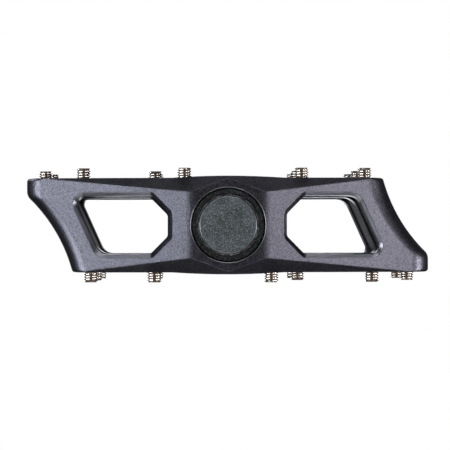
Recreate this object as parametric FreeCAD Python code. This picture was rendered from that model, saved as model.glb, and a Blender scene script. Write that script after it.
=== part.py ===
"""Flat mountain-bike pedal: machined platform, spindle, bush, twin cartridge bearings, cap and grip pins.

Frame: millimetres. The spindle lies along Y and the crank arm is on the +Y side. The origin is on
the spindle axis at the shoulder that seats against the crank arm. +Z is up and +X is to the
right of somebody who looks at the pedal's outer end. The platform is the same after half a turn
about Y, so either face can be ridden.
"""

import FreeCAD
import Part
import math
import os

V = FreeCAD.Vector
AXIS = V(0, 1, 0)
OVERRUN = 1.0  # a cutting tool reaches this far past the face that it enters
REACH = 20.0  # and this far where it cuts right through the platform
SAME = 1e-3  # two points closer than this are one

# ---- Platform: overall -------------------------------------------------------------------------
PLATFORM_WIDTH = 100.0  # along the spindle, outer boss face to inner plate face
HALF_LENGTH = 56.5  # from the axis to the foremost point
HALF_THICKNESS = 13.2  # flat of the tread faces above the axis
CROWN_RISE = 0.55  # the tread rises this much over the axle
CROWN_HALF_WIDTH = 15.6
INNER_BOSS_LENGTH = 3.0  # the axle housing stands out this far on the crank side
CRANK_GAP = 9.0  # crank shoulder to the housing's inner face
INNER_Y = -CRANK_GAP
PLATE_INNER_Y = INNER_Y - INNER_BOSS_LENGTH
OUTER_Y = PLATE_INNER_Y - PLATFORM_WIDTH

# ---- Platform: scooped leading edges -----------------------------------------------------------
SCOOP_CENTRE = (-86.65, -24.5)  # x, z of the hollow under the front edge
SCOOP_RADIUS = 44.5
EDGE_ROUND = 1.0  # along the tread edges
NOSE_ROUND = 3.0  # where the upright nose turns into the scoop

# ---- Platform: ends in plan --------------------------------------------------------------------
OUTER_CORNER_RADIUS = 5.0
INNER_CORNER_RADIUS = 6.0
CORNER_TURN = 75  # degrees that an inner corner turns before the flat plate face
CORNER_STEPS = 5  # outlines that each rounded corner is skinned over, less one
CORNER_ROOT_X = 30.0  # the corners are built outwards from here
BOSS_HALF_WIDTH = 10.2  # flat part of the outer face
SWEEP_DEGREES = 14.0  # the outer face falls back on each side of the boss
BOSS_EDGE_RADIUS = 12.0

# ---- Platform: bevels on the outer end -------------------------------------------------------------
BEVEL_LOW_Z = 9.14  # height of the bevel's lower edge beside the boss
BEVEL_DEPTH = 5.5  # and how far back it reaches on the tread there
BEVEL_END_LONG = 52.1  # where it runs out towards the overhanging edge
BEVEL_END_SHORT = 43.0  # and towards the undercut edge
ROOF_HALF_WIDTH = 9.9  # six-sided nose of the axle housing
ROOF_EAVE_Z = 9.3
ROOF_RIDGE_Z = 12.95
ROOF_LENGTH = 9.0
INNER_BEVEL = (3.0, 1.6)  # along the spindle, down from the tread

# ---- Platform: cross plates, bays and windows ----------------------------------------------------
# Depths are measured from the outer face towards the crank.
OUTER_BAY = (13.0, 47.5)
INNER_BAY = (55.5, 91.0)
BAY_WALL_X = 41.3  # the bay's end wall crosses z = 0 here
BAY_WALL_LEAN = 0.458  # and leans this much in x for each unit of z
BAY_CORNER_X = (27.0, 47.3)  # the outer bay's front wall slants back between these
BAY_CORNER_RUN = 18.0  # by this much
BAY_ROUND = 4.0
BAY_EDGE_BREAK = 0.6
WINDOW_HALF_HEIGHT = 8.15
WINDOW_WALL_X = 39.8
REAR_WINDOW_WALL_X = 40.6  # the windows behind the outer plate reach a little closer to the rails
WINDOW_WALL_LEAN = 0.447
WINDOW_AXLE_X = 16.3
WINDOW_AXLE_HALF = 3.1  # half length of the upright side next to the axle
WINDOW_CUT = 5.0  # 45 degree corners next to the axle
REAR_WINDOW_AXLE_X = 17.2
WINDOW_EDGE_BREAK = 1.0
WINDOW_AXLE_ROUNDS = (0.8, 1.6)  # at the far and near end of each 45 degree corner
WINDOW_CHANGE = 4.0  # the opening changes size this far behind the outer plate
WINDOW_ROUNDS = (2.2, 3.4)  # upper and lower corner on the rail side
REAR_WINDOW_ROUNDS = (1.4, 4.4)
HOUSING_OUTLINE = [(0.0, 13.3), (9.9, 9.9), (13.2, 5.4)]  # x, z of the top right quarter
HOUSING_ROUND = 2.0
HOUSING_END_BREAK = 1.0
HOUSING_ROOT = 2.0  # how far it runs into the outer plate

# ---- Bores --------------------------------------------------------------------------------------------
BORE_R = 8.0  # bearings and bush sit in this
WAIST_R = 7.3  # clearance bore between them
CAP_SEAT_R = 8.5
CAP_SEAT_DEPTH = 7.4
MOUTH_R = 10.35
MOUTH_DEPTH = 2.4
MOUTH_BREAK = 0.22
BEARING_SHOULDER_DEPTH = 24.0
BUSH_FLOOR_GAP = 0.5
SEAL_R = 10.0
SEAL_WIDTH = 4.5
FIT = 0.02  # radial gap of a located fit
RUNNING = 0.05  # radial gap of a running fit

# ---- Pins --------------------------------------------------------------------------------------------
PIN_R = 1.98
PIN_HOLE_R = 2.0
PIN_TIP_Z = 16.0
PIN_LENGTH = 6.0
PIN_CHAMFER = 0.35
PIN_HOLE_END_Z = 9.6
PIN_HEX_AF = 2.0
PIN_HEX_DEPTH = 2.4
# x and depth of the pins on the upper tread, for each row. The lower tread has the same after half a turn.
PIN_ROWS = {
    "outer": [(-40.4, 13.5), (-12.1, 8.6), (20.6, 9.0), (38.4, 13.0)],
    "middle": [(-52.9, 51.5), (-20.8, 51.5), (20.8, 51.5), (38.4, 51.5)],
    "inner": [(-52.9, 95.0), (-20.8, 95.5), (20.8, 95.5), (38.4, 95.0)],
}

# ---- Cartridge bearings, 8 x 16 x 5 ----------------------------------------------------------------------
BEARING_WIDTH = 5.0
BEARING_BORE_R = 4.0
BEARING_OUT_R = 8.0
BALL_R = 1.19
BALL_CIRCLE_R = 6.0
BALL_COUNT = 9
INNER_RING_OUT_R = 5.15
OUTER_RING_IN_R = 6.85
SHIELD_THICKNESS = 0.35
SHIELD_INSET = 0.2
CAGE_R = (5.55, 6.45)
CAGE_HALF_WIDTH = 1.55
BEARING_DEPTHS = (BEARING_SHOULDER_DEPTH - 2 * BEARING_WIDTH, BEARING_SHOULDER_DEPTH - BEARING_WIDTH)

# ---- Spindle -----------------------------------------------------------------------------------------
THREAD_R = 7.14  # 9/16 inch
THREAD_LENGTH = 14.3
THREAD_CHAMFER = 1.0
HEX_KEY_AF = 8.0
HEX_KEY_DEPTH = 9.0
COLLAR_R = 9.0
COLLAR_EDGE = 0.4
COLLAR_END_Y = -7.6
FLATS_AF = 15.0
FLATS_Y = (-6.4, -1.4)
SEAL_JOURNAL_R = 7.4
BUSH_JOURNAL_R = 7.0
SEAL_JOURNAL_END_Y = INNER_Y - SEAL_WIDTH - 1.0
BUSH_JOURNAL_END_Y = -34.0
SHANK_START_R = 6.4
SHANK_STEP = 1.2  # length of the cone from the bush journal down to the shank
SHANK_LAND = 4.0  # straight length before the bearing shoulder
SHANK_END_R = 4.9
SEAT_R = 4.0
SEAT_SETBACK = 0.2  # the seat stops short of the bearing's face
NUT_THREAD_R = 3.5
SPINDLE_END_CHAMFER = 0.6
SPINDLE_END_DEPTH = 7.4

# ---- Small parts ---------------------------------------------------------------------------------------
BUSH_LENGTH = 15.0
BUSH_END_Y = INNER_Y - SEAL_WIDTH - 1.4
NUT_AF = 10.0
NUT_HEIGHT = 4.6
NUT_CHAMFER = (0.8, 0.5)  # across the face, along the spindle
SEAL_EDGE = 0.3
SEAL_HOLLOW = 0.9  # depth of the space between the lips
DUST_LIP_FLARE = 1.2
DUST_LIP = (0.7, 1.3, 1.9)  # start, end and root of the lip, from the seal's face
OIL_LIP_FLARE = 0.6
OIL_LIP = (0.5, 1.0, 1.6)  # the same, from the seal's back
WASHER_R = 5.1
WASHER_BORE_R = 4.1
WASHER_THICKNESS = 0.8
CAP_FACE_DEPTH = 1.3
CAP_GAP = 0.12  # round the flange
CAP_RIM_R = 8.85  # a raised rim holds the blank
CAP_RIM_DEPTH = 0.8
CAP_LENGTH = 5.2
CAP_WALL = 1.5
CAP_EDGE = 0.3
CAP_NOTCHES = 12
CAP_NOTCH_WIDTH = 1.5
CAP_NOTCH_DEPTH = 0.7  # in from the rim
CAP_WEB = 0.4  # floor behind the flange
BLANK_R = 7.95
BLANK_THICKNESS = 0.8
BLANK_FACE_DEPTH = 0.55
BLANK_EDGE = 0.15
ORING_CORD_R = 0.55
ORING_SQUEEZE = 0.05  # the cord's centre lies this far inside the groove's mouth
ORING_OFFSET = 1.2  # from the flange's back to the groove
ORING_SIDE_GAP = 0.1
ORING_CLEARANCE = 0.01


def at_depth(depth):
    """The y of a plane this far from the platform's outer face."""
    return OUTER_Y + depth


def turned(shape):
    """The shape after half a turn about the spindle."""
    copy = shape.copy()
    copy.rotate(V(0, 0, 0), AXIS, 180)
    return copy


def line(a, b):
    """The straight edge from a to b."""
    return Part.LineSegment(a, b).toShape()


def arc_about(centre, a, b):
    """The shorter arc from a to b about centre."""
    out = ((a - centre) + (b - centre)).normalize()
    return Part.Arc(a, centre + out * (a - centre).Length, b).toShape()


def prism_y(points, y0, y1):
    """A solid whose section in x and z is the polygon, from y0 to y1."""
    corners = [V(x, y0, z) for x, z in points]
    face = Part.Face(Part.makePolygon(corners + corners[:1]))
    return face.extrude(V(0, y1 - y0, 0))


def prism_z(points, z0, z1):
    """A solid whose section in x and y is the polygon, from z0 to z1."""
    corners = [V(x, y, z0) for x, y in points]
    face = Part.Face(Part.makePolygon(corners + corners[:1]))
    return face.extrude(V(0, 0, z1 - z0))


def rod(radius, y0, y1):
    """A cylinder on the spindle axis."""
    return Part.makeCylinder(radius, y1 - y0, V(0, y0, 0), AXIS)


def ring(outer, inner, y0, y1):
    """A plain ring on the spindle axis."""
    return rod(outer, y0, y1).cut(rod(inner, y0 - OVERRUN, y1 + OVERRUN))


def turning(points):
    """A solid of revolution about the spindle axis from a closed outline of (radius, y)."""
    corners = [V(r, y, 0) for r, y in points]
    face = Part.Face(Part.makePolygon(corners + corners[:1]))
    return face.revolve(V(0, 0, 0), AXIS, 360)


def hexagon(across_flats):
    """The corners of a regular hexagon about the origin."""
    reach = across_flats / math.sqrt(3)
    angles = [math.radians(60 * i) for i in range(6)]
    return [(reach * math.cos(a), reach * math.sin(a)) for a in angles]


def fillet_along(shape, direction, radius_of):
    """Rounds the straight edges along direction; radius_of(middle) is the radius, or 0 for none."""
    by_radius = {}
    for edge in shape.Edges:
        if edge.Curve.TypeId != "Part::GeomLine":
            continue
        run = edge.tangentAt(edge.FirstParameter)
        if abs(abs(run.dot(direction)) - 1) > SAME:
            continue
        radius = radius_of(edge.CenterOfMass)
        if radius:
            by_radius.setdefault(radius, []).append(edge)
    for radius, edges in by_radius.items():
        wanted = [e.CenterOfMass for e in edges]
        here = [e for e in shape.Edges if any((e.CenterOfMass - w).Length < SAME for w in wanted)]
        shape = shape.makeFillet(radius, here)
    return shape


# ---- Platform --------------------------------------------------------------------------------------------


def end_outline(y, inset):
    """The overhanging end of the platform's outline, from the upper tread down to the lower one."""
    nose_x = -HALF_LENGTH + inset
    scoop = V(SCOOP_CENTRE[0] + inset, y, SCOOP_CENTRE[1])

    def tangent_on_scoop(centre, radius):
        return scoop + (centre - scoop) * (SCOOP_RADIUS / (SCOOP_RADIUS + radius))

    top = V(nose_x + EDGE_ROUND, y, HALF_THICKNESS - EDGE_ROUND)
    nose_centre_x = nose_x + NOSE_ROUND
    reach = math.sqrt((SCOOP_RADIUS + NOSE_ROUND) ** 2 - (nose_centre_x - scoop.x) ** 2)
    nose = V(nose_centre_x, y, scoop.z + reach)
    heel_z = -HALF_THICKNESS + EDGE_ROUND
    reach = math.sqrt((SCOOP_RADIUS + EDGE_ROUND) ** 2 - (heel_z - scoop.z) ** 2)
    heel = V(scoop.x + reach, y, heel_z)

    tread_end = V(top.x, y, HALF_THICKNESS)
    nose_top = V(nose_x, y, top.z)
    nose_bottom = V(nose_x, y, nose.z)
    scoop_top = tangent_on_scoop(nose, NOSE_ROUND)
    scoop_bottom = tangent_on_scoop(heel, EDGE_ROUND)
    heel_end = V(heel.x, y, -HALF_THICKNESS)
    edges = [
        arc_about(top, tread_end, nose_top),
        line(nose_top, nose_bottom),
        arc_about(nose, nose_bottom, scoop_top),
        arc_about(scoop, scoop_top, scoop_bottom),
        arc_about(heel, scoop_bottom, heel_end),
    ]
    return edges, tread_end, heel_end


def outline(y, inset):
    """The platform's whole outline in the plane at y, with both ends moved in by inset."""
    left, tread_end, heel_end = end_outline(y, inset)
    crown_start = V(-CROWN_HALF_WIDTH, y, -HALF_THICKNESS)
    crown_end = V(CROWN_HALF_WIDTH, y, -HALF_THICKNESS)
    ridge = V(0, y, -HALF_THICKNESS - CROWN_RISE)
    half = list(left)
    half.append(line(heel_end, crown_start))
    half.append(Part.Arc(crown_start, ridge, crown_end).toShape())
    half.append(line(crown_end, V(-tread_end.x, y, -tread_end.z)))
    return Part.Wire(half + [turned(edge) for edge in half])


def corner_sections(radius, turn):
    """Pairs of distance back from the tangent line and inset, round a plan corner of this radius."""
    angles = [math.radians(turn * i / CORNER_STEPS) for i in range(CORNER_STEPS + 1)]
    return [(radius * math.sin(a), radius * (1 - math.cos(a))) for a in angles]


def blank():
    """The outline drawn out along the spindle, with its inner corners rounded in plan."""
    corner = corner_sections(INNER_CORNER_RADIUS, CORNER_TURN)
    start = PLATE_INNER_Y - corner[-1][0]
    straight = Part.Face(outline(OUTER_Y, 0)).extrude(V(0, start - OUTER_Y, 0))
    wires = [outline(start + run, inset) for run, inset in corner]
    return straight.fuse(Part.makeLoft(wires, True, False)).removeSplitter()


def swept_face_depth(x):
    """Depth of the outer face at this distance from the axis."""
    return max(0.0, abs(x) - BOSS_HALF_WIDTH) * math.tan(math.radians(SWEEP_DEGREES))


def half_outline(y, inset):
    """The overhanging end of the outline, closed by an upright line at the corners' root."""
    edges, tread_end, heel_end = end_outline(y, inset)
    top = V(-CORNER_ROOT_X, y, HALF_THICKNESS)
    bottom = V(-CORNER_ROOT_X, y, -HALF_THICKNESS)
    return Part.Wire([line(top, tread_end)] + edges + [line(heel_end, bottom), line(bottom, top)])


def outer_corner():
    """The rounded outer corner at the overhanging end, sheared to meet the swept face squarely."""
    radius = OUTER_CORNER_RADIUS
    wires = [half_outline(radius - run, inset) for run, inset in corner_sections(radius, 90)]
    square = Part.makeLoft(wires, True, False)
    slope = math.tan(math.radians(SWEEP_DEGREES))
    shear = FreeCAD.Matrix()
    shear.A21 = -slope
    shear.A24 = OUTER_Y - BOSS_HALF_WIDTH * slope
    return square.transformGeometry(shear)


def round_ridges(shape):
    """Rounds the two low upright ridges between the boss and the swept faces."""

    def ridge_radius(middle):
        at_ridge = abs(middle.y - OUTER_Y) < SAME and abs(middle.z) < OVERRUN
        return BOSS_EDGE_RADIUS if at_ridge else 0

    return fillet_along(shape, V(0, 0, 1), ridge_radius)


def behind_outer_face():
    """A block that fills the space behind the boss and the swept faces."""
    far = CORNER_ROOT_X
    right = [(BOSS_HALF_WIDTH, OUTER_Y), (far, at_depth(swept_face_depth(far))), (far, at_depth(REACH))]
    left = [(-x, y) for x, y in reversed(right)]
    return round_ridges(prism_z(right + left, -REACH, REACH))


def sweep_outer_face(body):
    """Cuts the outer face back on each side of the boss and rounds the two low ridges."""
    far = HALF_LENGTH + REACH
    radius = OUTER_CORNER_RADIUS
    corner = outer_corner()
    for side in (-1, 1):
        plan = [
            (side * BOSS_HALF_WIDTH, OUTER_Y),
            (side * CORNER_ROOT_X, at_depth(swept_face_depth(CORNER_ROOT_X))),
            (side * CORNER_ROOT_X, at_depth(swept_face_depth(CORNER_ROOT_X) + radius)),
            (side * far, at_depth(swept_face_depth(far) + radius)),
            (side * far, OUTER_Y - REACH),
            (side * BOSS_HALF_WIDTH, OUTER_Y - REACH),
        ]
        body = body.cut(prism_z(plan, -REACH, REACH))
    return round_ridges(body.fuse([corner, turned(corner)]).removeSplitter())


def bevel_tool(low, back, end, outwards):
    """A slab on the plane through three points, reaching away from the body."""
    along = (end - back).normalize()
    up = (low - back).normalize()
    past_boss = along * 30
    past_end = along * 80
    corners = [
        back - past_boss + up * REACH,
        back + past_end + up * REACH,
        back + past_end - up * REACH,
        back - past_boss - up * REACH,
    ]
    face = Part.Face(Part.makePolygon(corners + corners[:1]))
    normal = face.normalAt(0, 0)
    if normal.dot(outwards) < 0:
        normal = normal * -1
    return face.extrude(normal * REACH)


def bevel_outer_end(body):
    """Four shallow bevels that grow from nothing at the corners to full depth beside the boss."""
    for sign_z, end_x in [(1, BEVEL_END_LONG), (-1, BEVEL_END_SHORT)]:
        low = V(-BOSS_HALF_WIDTH, OUTER_Y, sign_z * BEVEL_LOW_Z)
        back = V(-BOSS_HALF_WIDTH, at_depth(BEVEL_DEPTH), sign_z * HALF_THICKNESS)
        end = V(-end_x, at_depth(swept_face_depth(end_x)), sign_z * HALF_THICKNESS)
        tool = bevel_tool(low, back, end, V(0, -1, sign_z))
        body = body.cut(tool).cut(turned(tool))
    roof = [
        (ROOF_HALF_WIDTH, ROOF_EAVE_Z),
        (0, ROOF_RIDGE_Z),
        (-ROOF_HALF_WIDTH, ROOF_EAVE_Z),
        (-ROOF_HALF_WIDTH, -ROOF_EAVE_Z),
        (0, -ROOF_RIDGE_Z),
        (ROOF_HALF_WIDTH, -ROOF_EAVE_Z),
    ]
    nose = prism_y(roof, OUTER_Y, at_depth(ROOF_LENGTH)).common(behind_outer_face())
    return body.fuse(nose).removeSplitter()


def bevel_inner_end(body):
    """Bevels the treads towards the crank arm."""
    run, drop = INNER_BEVEL
    far = HALF_LENGTH + REACH
    for sign in (1, -1):
        low = sign * (HALF_THICKNESS - drop)
        high = sign * (HALF_THICKNESS + OVERRUN)
        section = [
            V(-far, PLATE_INNER_Y - run, sign * HALF_THICKNESS),
            V(-far, PLATE_INNER_Y, low),
            V(-far, PLATE_INNER_Y + OVERRUN, low),
            V(-far, PLATE_INNER_Y + OVERRUN, high),
            V(-far, PLATE_INNER_Y - run, high),
        ]
        tool = Part.Face(Part.makePolygon(section + section[:1])).extrude(V(2 * far, 0, 0))
        body = body.cut(tool)
    return body


def bay(start, end, cut_corner):
    """The open space between two cross plates, from end rail to end rail."""
    lean = BAY_WALL_LEAN * REACH
    section = [
        (-BAY_WALL_X - lean, REACH),
        (BAY_WALL_X - lean, REACH),
        (BAY_WALL_X + lean, -REACH),
        (-BAY_WALL_X + lean, -REACH),
    ]
    solid = prism_y(section, at_depth(start), at_depth(end))
    if cut_corner:
        x, end_x = BAY_CORNER_X
        far = HALF_LENGTH + REACH
        slope = BAY_CORNER_RUN / (end_x - x)
        for side in (-1, 1):
            plan = [
                (side * x, at_depth(start)),
                (side * far, at_depth(start + (far - x) * slope)),
                (side * far, at_depth(start - OVERRUN)),
                (side * x, at_depth(start - OVERRUN)),
            ]
            solid = solid.cut(prism_z(plan, -REACH - OVERRUN, REACH + OVERRUN))
    upright = [e for e in solid.Edges if abs(e.Vertexes[0].Z - e.Vertexes[-1].Z) > 2 * REACH - SAME]
    return solid.makeFillet(BAY_ROUND, upright)


def window(axle_x, wall_x, wall_rounds, y0, y1):
    """The opening through a cross plate on the side of the overhanging upper edge."""
    high = WINDOW_HALF_HEIGHT
    wall = WINDOW_WALL_LEAN * high
    corners = [
        (-wall_x - wall, high),
        (-axle_x - WINDOW_CUT, high),
        (-axle_x, WINDOW_AXLE_HALF),
        (-axle_x, -WINDOW_AXLE_HALF),
        (-axle_x - WINDOW_CUT, -high),
        (-wall_x + wall, -high),
    ]
    upper, lower = wall_rounds
    far, near = WINDOW_AXLE_ROUNDS
    rounds = [upper, far, near, near, far, lower]
    solid = prism_y(corners, y0, y1)

    def radius_of(middle):
        for (x, z), radius in zip(corners, rounds):
            if math.hypot(middle.x - x, middle.z - z) < SAME:
                return radius
        return 0

    return fillet_along(solid, AXIS, radius_of)


def break_edges(body, size, wanted):
    """Chamfers the edges that wanted(edge) picks."""
    picked = [edge for edge in body.Edges if wanted(edge)]
    return body.makeChamfer(size, picked) if picked else body


def on_tread(edge):
    """True for an edge that lies in one of the two tread planes inside a bay."""
    flat = all(abs(abs(v.Z) - HALF_THICKNESS) < SAME for v in edge.Vertexes)
    middle = edge.CenterOfMass
    depth = middle.y - OUTER_Y
    inside = OUTER_BAY[0] - SAME <= depth <= INNER_BAY[1] + SAME
    return flat and inside and abs(abs(middle.z) - HALF_THICKNESS) < SAME and not is_outer_edge(edge)


def is_outer_edge(edge):
    """True for the long edges where a tread meets the rounded ends."""
    run = edge.Vertexes[0].Point - edge.Vertexes[-1].Point
    return run.Length > HALF_LENGTH


def housing():
    """The faceted tube around the axle, from the outer plate to the crank side."""
    quarter = HOUSING_OUTLINE
    right = quarter + [(x, -z) for x, z in reversed(quarter)]
    left = [(-x, z) for x, z in reversed(right)]
    points = []
    for point in right + left:
        if not points or math.dist(points[-1], point) > SAME:
            points.append(point)
    if math.dist(points[0], points[-1]) < SAME:
        points.pop()
    tube = prism_y(points, at_depth(OUTER_BAY[0] - HOUSING_ROOT), INNER_Y)
    tube = fillet_along(tube, AXIS, lambda middle: HOUSING_ROUND)
    end_edges = [e for e in tube.Edges if all(abs(v.Y - INNER_Y) < SAME for v in e.Vertexes)]
    return tube.makeChamfer(HOUSING_END_BREAK, end_edges)


def bores(body):
    """Bores for cap, bearings, spindle, bush and seal."""
    shoulder = at_depth(BEARING_SHOULDER_DEPTH)
    bush_floor = BUSH_END_Y - BUSH_LENGTH - BUSH_FLOOR_GAP
    body = body.cut(rod(BORE_R, OUTER_Y - OVERRUN, shoulder))
    body = body.cut(rod(CAP_SEAT_R, OUTER_Y - OVERRUN, at_depth(CAP_SEAT_DEPTH)))
    body = body.cut(rod(MOUTH_R, OUTER_Y - OVERRUN, at_depth(MOUTH_DEPTH)))
    mouth_edge = Part.makeCone(MOUTH_R + MOUTH_BREAK, MOUTH_R, MOUTH_BREAK, V(0, OUTER_Y, 0), AXIS)
    body = body.cut(mouth_edge)
    body = body.cut(rod(WAIST_R, shoulder - OVERRUN, bush_floor + OVERRUN))
    body = body.cut(rod(BORE_R, bush_floor, INNER_Y + OVERRUN))
    return body.cut(rod(SEAL_R, INNER_Y - SEAL_WIDTH, INNER_Y + OVERRUN))


def pin_places(face):
    """Every pin on the upper (1) or lower (-1) tread, as row name, x and y."""
    every = [(row, x, depth) for row, places in PIN_ROWS.items() for x, depth in places]
    return [(row, face * x, at_depth(depth)) for row, x, depth in every]


def pin_holes(body):
    """Drills the platform for every pin, from both treads."""
    for face in (1, -1):
        for _, x, y in pin_places(face):
            start = V(x, y, face * PIN_HOLE_END_Z)
            body = body.cut(Part.makeCylinder(PIN_HOLE_R, REACH, start, V(0, 0, face)))
    return body


def platform():
    """The machined platform, from the drawn-out outline to its holes and bores."""
    body = sweep_outer_face(blank())
    body = bevel_outer_end(body)
    body = bevel_inner_end(body)
    body = body.cut(bay(*OUTER_BAY, True)).cut(bay(*INNER_BAY, False))
    body = break_edges(body, BAY_EDGE_BREAK, on_tread)
    change_y = at_depth(OUTER_BAY[0] + WINDOW_CHANGE)
    start_y = change_y - OVERRUN
    end_y = PLATE_INNER_Y + OVERRUN
    near = window(WINDOW_AXLE_X, WINDOW_WALL_X, WINDOW_ROUNDS, OUTER_Y - OVERRUN, change_y)
    rest = window(REAR_WINDOW_AXLE_X, REAR_WINDOW_WALL_X, REAR_WINDOW_ROUNDS, start_y, end_y)
    for tool in (near, rest):
        body = body.cut(tool).cut(turned(tool))

    def window_rim(edge):
        middle = edge.CenterOfMass
        on_face = all(abs(v.Y - at_depth(swept_face_depth(v.X))) < SAME for v in edge.Vertexes)
        level = abs(middle.z) < WINDOW_HALF_HEIGHT + SAME
        beyond_axle = abs(middle.x) > WINDOW_AXLE_X - SAME
        before_rail = abs(middle.x + WINDOW_WALL_LEAN * middle.z) < WINDOW_WALL_X + SAME
        return on_face and level and beyond_axle and before_rail

    body = break_edges(body, WINDOW_EDGE_BREAK, window_rim)
    body = body.fuse(housing()).removeSplitter()
    return pin_holes(bores(body))


def pin(x, y, face):
    """One threaded grub screw with its hex socket outwards."""
    foot = PIN_TIP_Z - PIN_LENGTH
    profile = [
        (0, foot),
        (PIN_R - PIN_CHAMFER, foot),
        (PIN_R, foot + PIN_CHAMFER),
        (PIN_R, PIN_TIP_Z - PIN_CHAMFER),
        (PIN_R - PIN_CHAMFER, PIN_TIP_Z),
        (0, PIN_TIP_Z),
    ]
    corners = [V(r, 0, z) for r, z in profile]
    solid = Part.Face(Part.makePolygon(corners + corners[:1])).revolve(V(0, 0, 0), V(0, 0, 1), 360)
    solid = solid.cut(prism_z(hexagon(PIN_HEX_AF), PIN_TIP_Z - PIN_HEX_DEPTH, PIN_TIP_Z + OVERRUN))
    if face < 0:
        solid.rotate(V(0, 0, 0), AXIS, 180)
    solid.translate(V(x, y, 0))
    return solid


# ---- Bearings -----------------------------------------------------------------------------------------


def bearing(y0):
    """Inner ring, outer ring, balls, cage and the two seals of one cartridge bearing from y0."""
    y1 = y0 + BEARING_WIDTH
    middle = y0 + BEARING_WIDTH / 2
    track = Part.makeTorus(BALL_CIRCLE_R, BALL_R + RUNNING, V(0, middle, 0), AXIS)
    seat_y = (y0 + SHIELD_INSET, y1 - SHIELD_INSET - SHIELD_THICKNESS)
    inner = ring(INNER_RING_OUT_R, BEARING_BORE_R, y0, y1).cut(track)
    outer = ring(BEARING_OUT_R - FIT, OUTER_RING_IN_R, y0, y1).cut(track)
    seals = []
    for y in seat_y:
        seals.append(ring(OUTER_RING_IN_R - FIT, INNER_RING_OUT_R + RUNNING, y, y + SHIELD_THICKNESS))
    balls = []
    cage = ring(CAGE_R[1], CAGE_R[0], middle - CAGE_HALF_WIDTH, middle + CAGE_HALF_WIDTH)
    for i in range(BALL_COUNT):
        angle = 2 * math.pi * i / BALL_COUNT
        centre = V(BALL_CIRCLE_R * math.cos(angle), middle, BALL_CIRCLE_R * math.sin(angle))
        balls.append(Part.makeSphere(BALL_R, centre))
        outwards = V(math.cos(angle), 0, math.sin(angle))
        pocket = Part.makeCylinder(BALL_R + RUNNING, CAGE_R[1] + OVERRUN, V(0, middle, 0), outwards)
        cage = cage.cut(pocket)
    return {
        "inner_ring": inner,
        "outer_ring": outer,
        "balls": Part.makeCompound(balls),
        "cage": cage,
        "seals": Part.makeCompound(seals),
    }


# ---- Spindle and the small parts on it ----------------------------------------------------------------


def spindle():
    """Axle: 9/16 thread, collar with spanner flats, journals, tapered shank, seat and nut thread."""
    shoulder_y = at_depth(BEARING_SHOULDER_DEPTH)
    seat_end_y = at_depth(BEARING_DEPTHS[0]) - SEAT_SETBACK
    end_y = at_depth(SPINDLE_END_DEPTH)
    shaft = turning(
        [
            (0, THREAD_LENGTH),
            (THREAD_R - THREAD_CHAMFER, THREAD_LENGTH),
            (THREAD_R, THREAD_LENGTH - THREAD_CHAMFER),
            (THREAD_R, 0),
            (COLLAR_R - COLLAR_EDGE, 0),
            (COLLAR_R, -COLLAR_EDGE),
            (COLLAR_R, COLLAR_END_Y + COLLAR_EDGE),
            (COLLAR_R - COLLAR_EDGE, COLLAR_END_Y),
            (SEAL_JOURNAL_R, COLLAR_END_Y),
            (SEAL_JOURNAL_R, SEAL_JOURNAL_END_Y),
            (BUSH_JOURNAL_R, SEAL_JOURNAL_END_Y),
            (BUSH_JOURNAL_R, BUSH_JOURNAL_END_Y),
            (SHANK_START_R, BUSH_JOURNAL_END_Y - SHANK_STEP),
            (SHANK_END_R, shoulder_y + SHANK_LAND),
            (SHANK_END_R, shoulder_y),
            (SEAT_R - FIT, shoulder_y),
            (SEAT_R - FIT, seat_end_y),
            (NUT_THREAD_R, seat_end_y - SEAT_R + NUT_THREAD_R),
            (NUT_THREAD_R, end_y + SPINDLE_END_CHAMFER),
            (NUT_THREAD_R - SPINDLE_END_CHAMFER, end_y),
            (0, end_y),
        ]
    )
    start, end = FLATS_Y
    above_flat = Part.makeBox(2 * REACH, end - start, REACH, V(-REACH, start, FLATS_AF / 2))
    shaft = shaft.cut(above_flat).cut(turned(above_flat))
    key = prism_y(hexagon(HEX_KEY_AF), THREAD_LENGTH - HEX_KEY_DEPTH, THREAD_LENGTH + OVERRUN)
    return shaft.cut(key)


def bush():
    """Plain sleeve that carries the spindle's thick end."""
    return ring(BORE_R - FIT, BUSH_JOURNAL_R + RUNNING, BUSH_END_Y - BUSH_LENGTH, BUSH_END_Y)


def seal():
    """Lip seal in the mouth of the housing: a body ring with two lips that just clear the journal."""
    lip = SEAL_JOURNAL_R + RUNNING
    outer = SEAL_R - FIT
    back = INNER_Y - SEAL_WIDTH
    dust_start, dust_end, dust_root = DUST_LIP
    oil_start, oil_end, oil_root = OIL_LIP
    return turning(
        [
            (outer, back),
            (outer, INNER_Y - SEAL_EDGE),
            (outer - SEAL_EDGE, INNER_Y),
            (lip + DUST_LIP_FLARE, INNER_Y),
            (lip, INNER_Y - dust_start),
            (lip, INNER_Y - dust_end),
            (lip + SEAL_HOLLOW, INNER_Y - dust_root),
            (lip + SEAL_HOLLOW, back + oil_root),
            (lip, back + oil_end),
            (lip, back + oil_start),
            (lip + OIL_LIP_FLARE, back),
        ]
    )


def washer():
    """Washer between the nut and the outer bearing's inner ring."""
    y1 = at_depth(BEARING_DEPTHS[0])
    return ring(WASHER_R, WASHER_BORE_R, y1 - WASHER_THICKNESS, y1)


def nut():
    """Hex lock nut, chamfered on both faces."""
    y1 = at_depth(BEARING_DEPTHS[0]) - WASHER_THICKNESS
    y0 = y1 - NUT_HEIGHT
    six_sided = prism_y(hexagon(NUT_AF), y0, y1)
    corner = NUT_AF / math.sqrt(3)
    across, along = NUT_CHAMFER
    chamfered = turning(
        [
            (0, y0),
            (corner - across, y0),
            (corner, y0 + along),
            (corner, y1 - along),
            (corner - across, y1),
            (0, y1),
        ]
    )
    return six_sided.common(chamfered).cut(rod(NUT_THREAD_R + FIT, y0 - OVERRUN, y1 + OVERRUN))


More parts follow.
